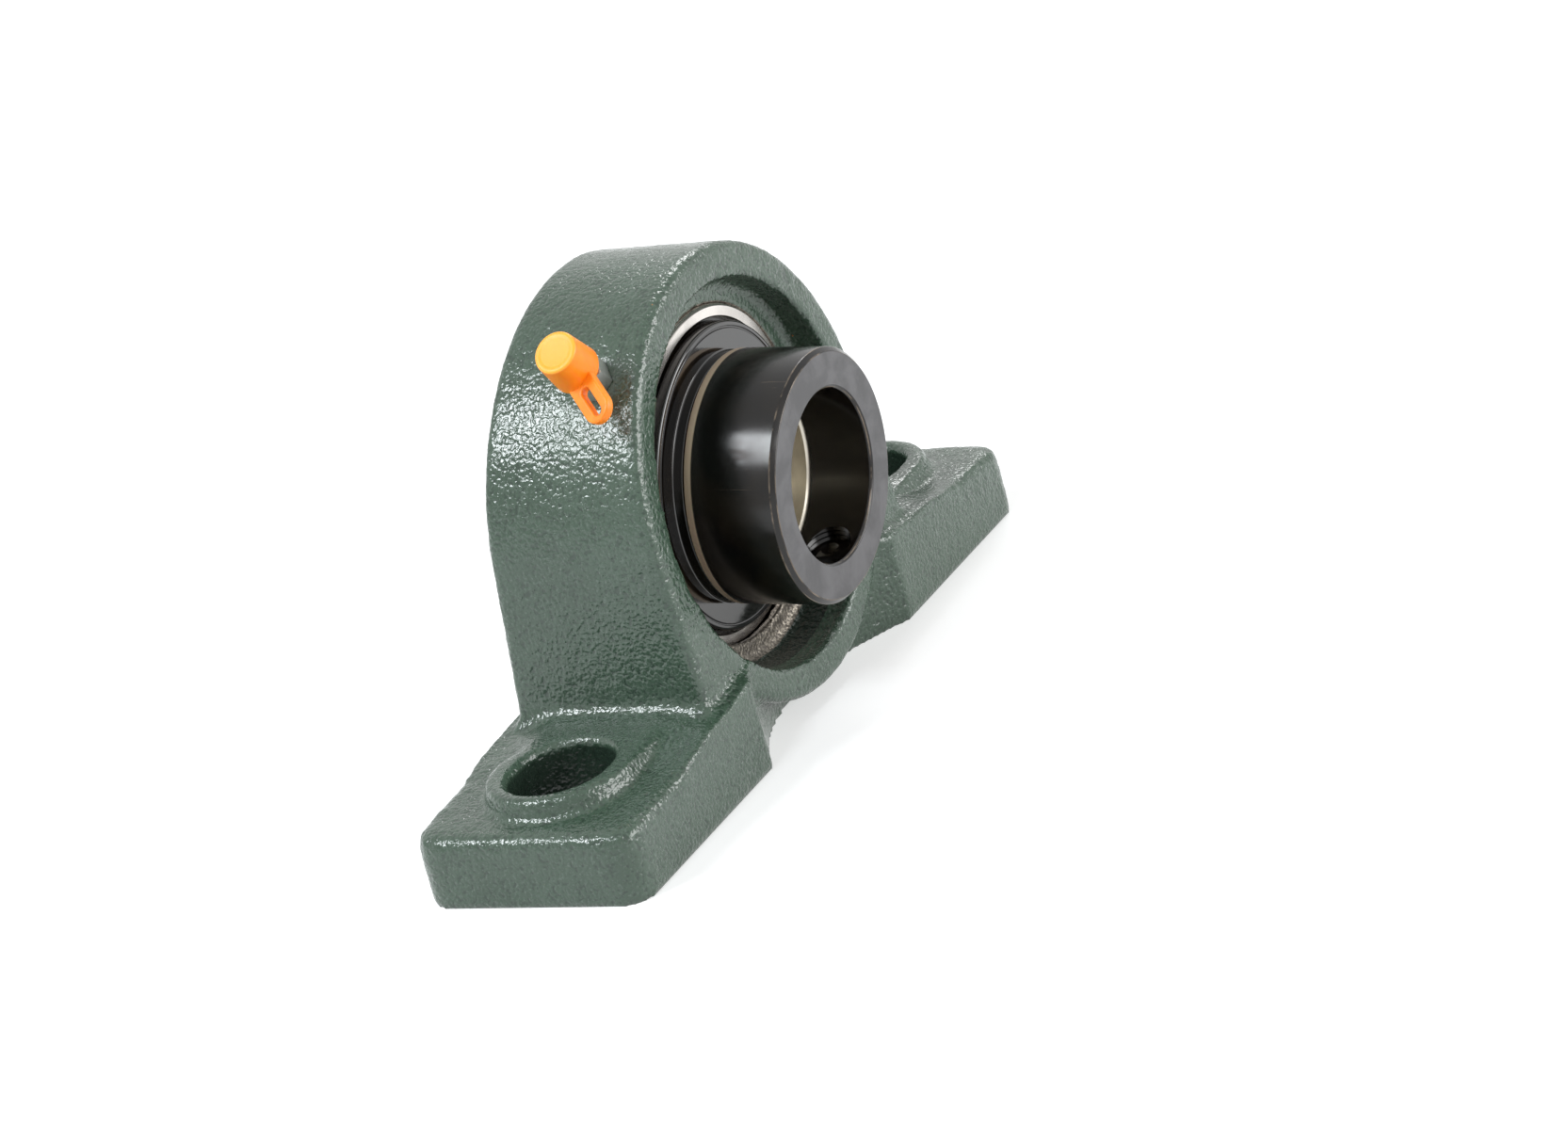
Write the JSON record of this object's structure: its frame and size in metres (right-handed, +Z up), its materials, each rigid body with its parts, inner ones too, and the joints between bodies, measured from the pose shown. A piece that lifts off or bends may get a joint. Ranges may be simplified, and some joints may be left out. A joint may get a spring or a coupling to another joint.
{
  "type": "pillow block bearing",
  "caption": "Cast pillow block with two slotted feet, a self-aligning sealed ball bearing insert, an eccentric locking collar with a set screw, and a capped grease nipple.",
  "frame": {"origin": "on the base plane, straight below the bearing centre, midway between the bolt slots", "axes": "+X along the base from slot to slot, +Z up, the shaft along Y with the locking collar toward -Y"},
  "size_m": [0.159, 0.0526, 0.0838],
  "materials": {
    "green_paint": "semi-gloss dark green enamel over rough cast iron",
    "ring_steel": "ground bearing steel",
    "ball_steel": "polished bearing steel",
    "cage_steel": "pressed steel strip",
    "black_oxide": "black oxide, glossy",
    "seal_steel": "blackened pressed steel",
    "seal_rubber": "nitrile rubber",
    "zinc_steel": "zinc-plated steel",
    "orange_plastic": "soft orange polyethylene"
  },
  "bodies": {
    "housing": {"housing": "green_paint", "grease_nipple_body": "zinc_steel", "nipple_spring": "zinc_steel"},
    "nipple_cap": {"nipple_cap": "orange_plastic"},
    "nipple_check_ball": {"nipple_check_ball": "ball_steel"},
    "locating_pin": {"locating_pin": "ring_steel"},
    "outer_ring": {"outer_ring": "ring_steel", "seal_core_front": "seal_steel", "seal_core_back": "seal_steel", "seal_lip_front": "seal_rubber", "seal_lip_back": "seal_rubber"},
    "inner_ring": {"inner_ring": "ring_steel", "slinger_front": "seal_steel", "slinger_back": "seal_steel"},
    "cage": {"cage_front": "cage_steel", "cage_back": "cage_steel", "cage_rivets": "cage_steel"},
    "locking_collar": {"locking_collar": "black_oxide"},
    "set_screw": {"set_screw": "black_oxide"},
    "ball_1": {"ball_1": "ball_steel"},
    "ball_2": {"ball_2": "ball_steel"},
    "ball_3": {"ball_3": "ball_steel"},
    "ball_4": {"ball_4": "ball_steel"},
    "ball_5": {"ball_5": "ball_steel"},
    "ball_6": {"ball_6": "ball_steel"},
    "ball_7": {"ball_7": "ball_steel"},
    "ball_8": {"ball_8": "ball_steel"},
    "ball_9": {"ball_9": "ball_steel"}
  },
  "joints": [
    {"name": "nipple_cap_pull", "type": "slide", "parent": "housing", "child": "nipple_cap", "axis": [-0.682, 0, 0.7314], "range_m": [0, 0.014]},
    {"name": "check_ball_lift", "type": "slide", "parent": "housing", "child": "nipple_check_ball", "axis": [-0.682, 0, 0.7314], "range_m": [-0.0006, 0], "stiffness_N_per_m": 60, "springref_m": 0.002, "deforming": ["nipple_spring"]},
    {"name": "insert_yaw", "type": "hinge", "parent": "housing", "child": "locating_pin", "pos_m": [0, 0, 0.0429], "axis": [0, 0, 1], "range_deg": [-3, 3]},
    {"name": "insert_tilt", "type": "hinge", "parent": "locating_pin", "child": "outer_ring", "pos_m": [0, 0, 0.0429], "axis": [1, 0, 0], "range_deg": [-8, 2]},
    {"name": "shaft_spin", "type": "hinge", "parent": "outer_ring", "child": "inner_ring", "pos_m": [0, 0, 0.0429], "axis": [0, 0.9986, 0.0523], "continuous": true},
    {"name": "cage_spin", "type": "hinge", "parent": "outer_ring", "child": "cage", "pos_m": [0, 0, 0.0429], "axis": [0, 0.9986, 0.0523], "continuous": true},
    {"name": "collar_lock", "type": "hinge", "parent": "inner_ring", "child": "locking_collar", "pos_m": [0, 0, 0.0429], "axis": [0, 0.9986, 0.0523], "range_deg": [-28, 28]},
    {"name": "set_screw_travel", "type": "slide", "parent": "locking_collar", "child": "set_screw", "axis": [0.225, 0.051, -0.973], "range_m": [-0.001, 0.004]},
    {"name": "ball_1_spin", "type": "hinge", "parent": "cage", "child": "ball_1", "pos_m": [0, -0.0012, 0.06587], "axis": [0, 0.9986, 0.0523], "continuous": true},
    {"name": "ball_2_spin", "type": "hinge", "parent": "cage", "child": "ball_2", "pos_m": [0.01478, -0.00092, 0.06049], "axis": [0, 0.9986, 0.0523], "continuous": true},
    {"name": "ball_3_spin", "type": "hinge", "parent": "cage", "child": "ball_3", "pos_m": [0.02265, -0.00021, 0.04689], "axis": [0, 0.9986, 0.0523], "continuous": true},
    {"name": "ball_4_spin", "type": "hinge", "parent": "cage", "child": "ball_4", "pos_m": [0.01992, 0.0006, 0.03142], "axis": [0, 0.9986, 0.0523], "continuous": true},
    {"name": "ball_5_spin", "type": "hinge", "parent": "cage", "child": "ball_5", "pos_m": [0.00787, 0.00113, 0.02132], "axis": [0, 0.9986, 0.0523], "continuous": true},
    {"name": "ball_6_spin", "type": "hinge", "parent": "cage", "child": "ball_6", "pos_m": [-0.00787, 0.00113, 0.02132], "axis": [0, 0.9986, 0.0523], "continuous": true},
    {"name": "ball_7_spin", "type": "hinge", "parent": "cage", "child": "ball_7", "pos_m": [-0.01992, 0.0006, 0.03142], "axis": [0, 0.9986, 0.0523], "continuous": true},
    {"name": "ball_8_spin", "type": "hinge", "parent": "cage", "child": "ball_8", "pos_m": [-0.02265, -0.00021, 0.04689], "axis": [0, 0.9986, 0.0523], "continuous": true},
    {"name": "ball_9_spin", "type": "hinge", "parent": "cage", "child": "ball_9", "pos_m": [-0.01478, -0.00092, 0.06049], "axis": [0, 0.9986, 0.0523], "continuous": true}
  ],
  "couplings": [
    {"joint": "cage_spin", "follows": "shaft_spin", "ratio": 0.39647},
    {"joint": "ball_1_spin", "follows": "shaft_spin", "ratio": -2.3112},
    {"joint": "ball_2_spin", "follows": "shaft_spin", "ratio": -2.3112},
    {"joint": "ball_3_spin", "follows": "shaft_spin", "ratio": -2.3112},
    {"joint": "ball_4_spin", "follows": "shaft_spin", "ratio": -2.3112},
    {"joint": "ball_5_spin", "follows": "shaft_spin", "ratio": -2.3112},
    {"joint": "ball_6_spin", "follows": "shaft_spin", "ratio": -2.3112},
    {"joint": "ball_7_spin", "follows": "shaft_spin", "ratio": -2.3112},
    {"joint": "ball_8_spin", "follows": "shaft_spin", "ratio": -2.3112},
    {"joint": "ball_9_spin", "follows": "shaft_spin", "ratio": -2.3112}
  ]
}
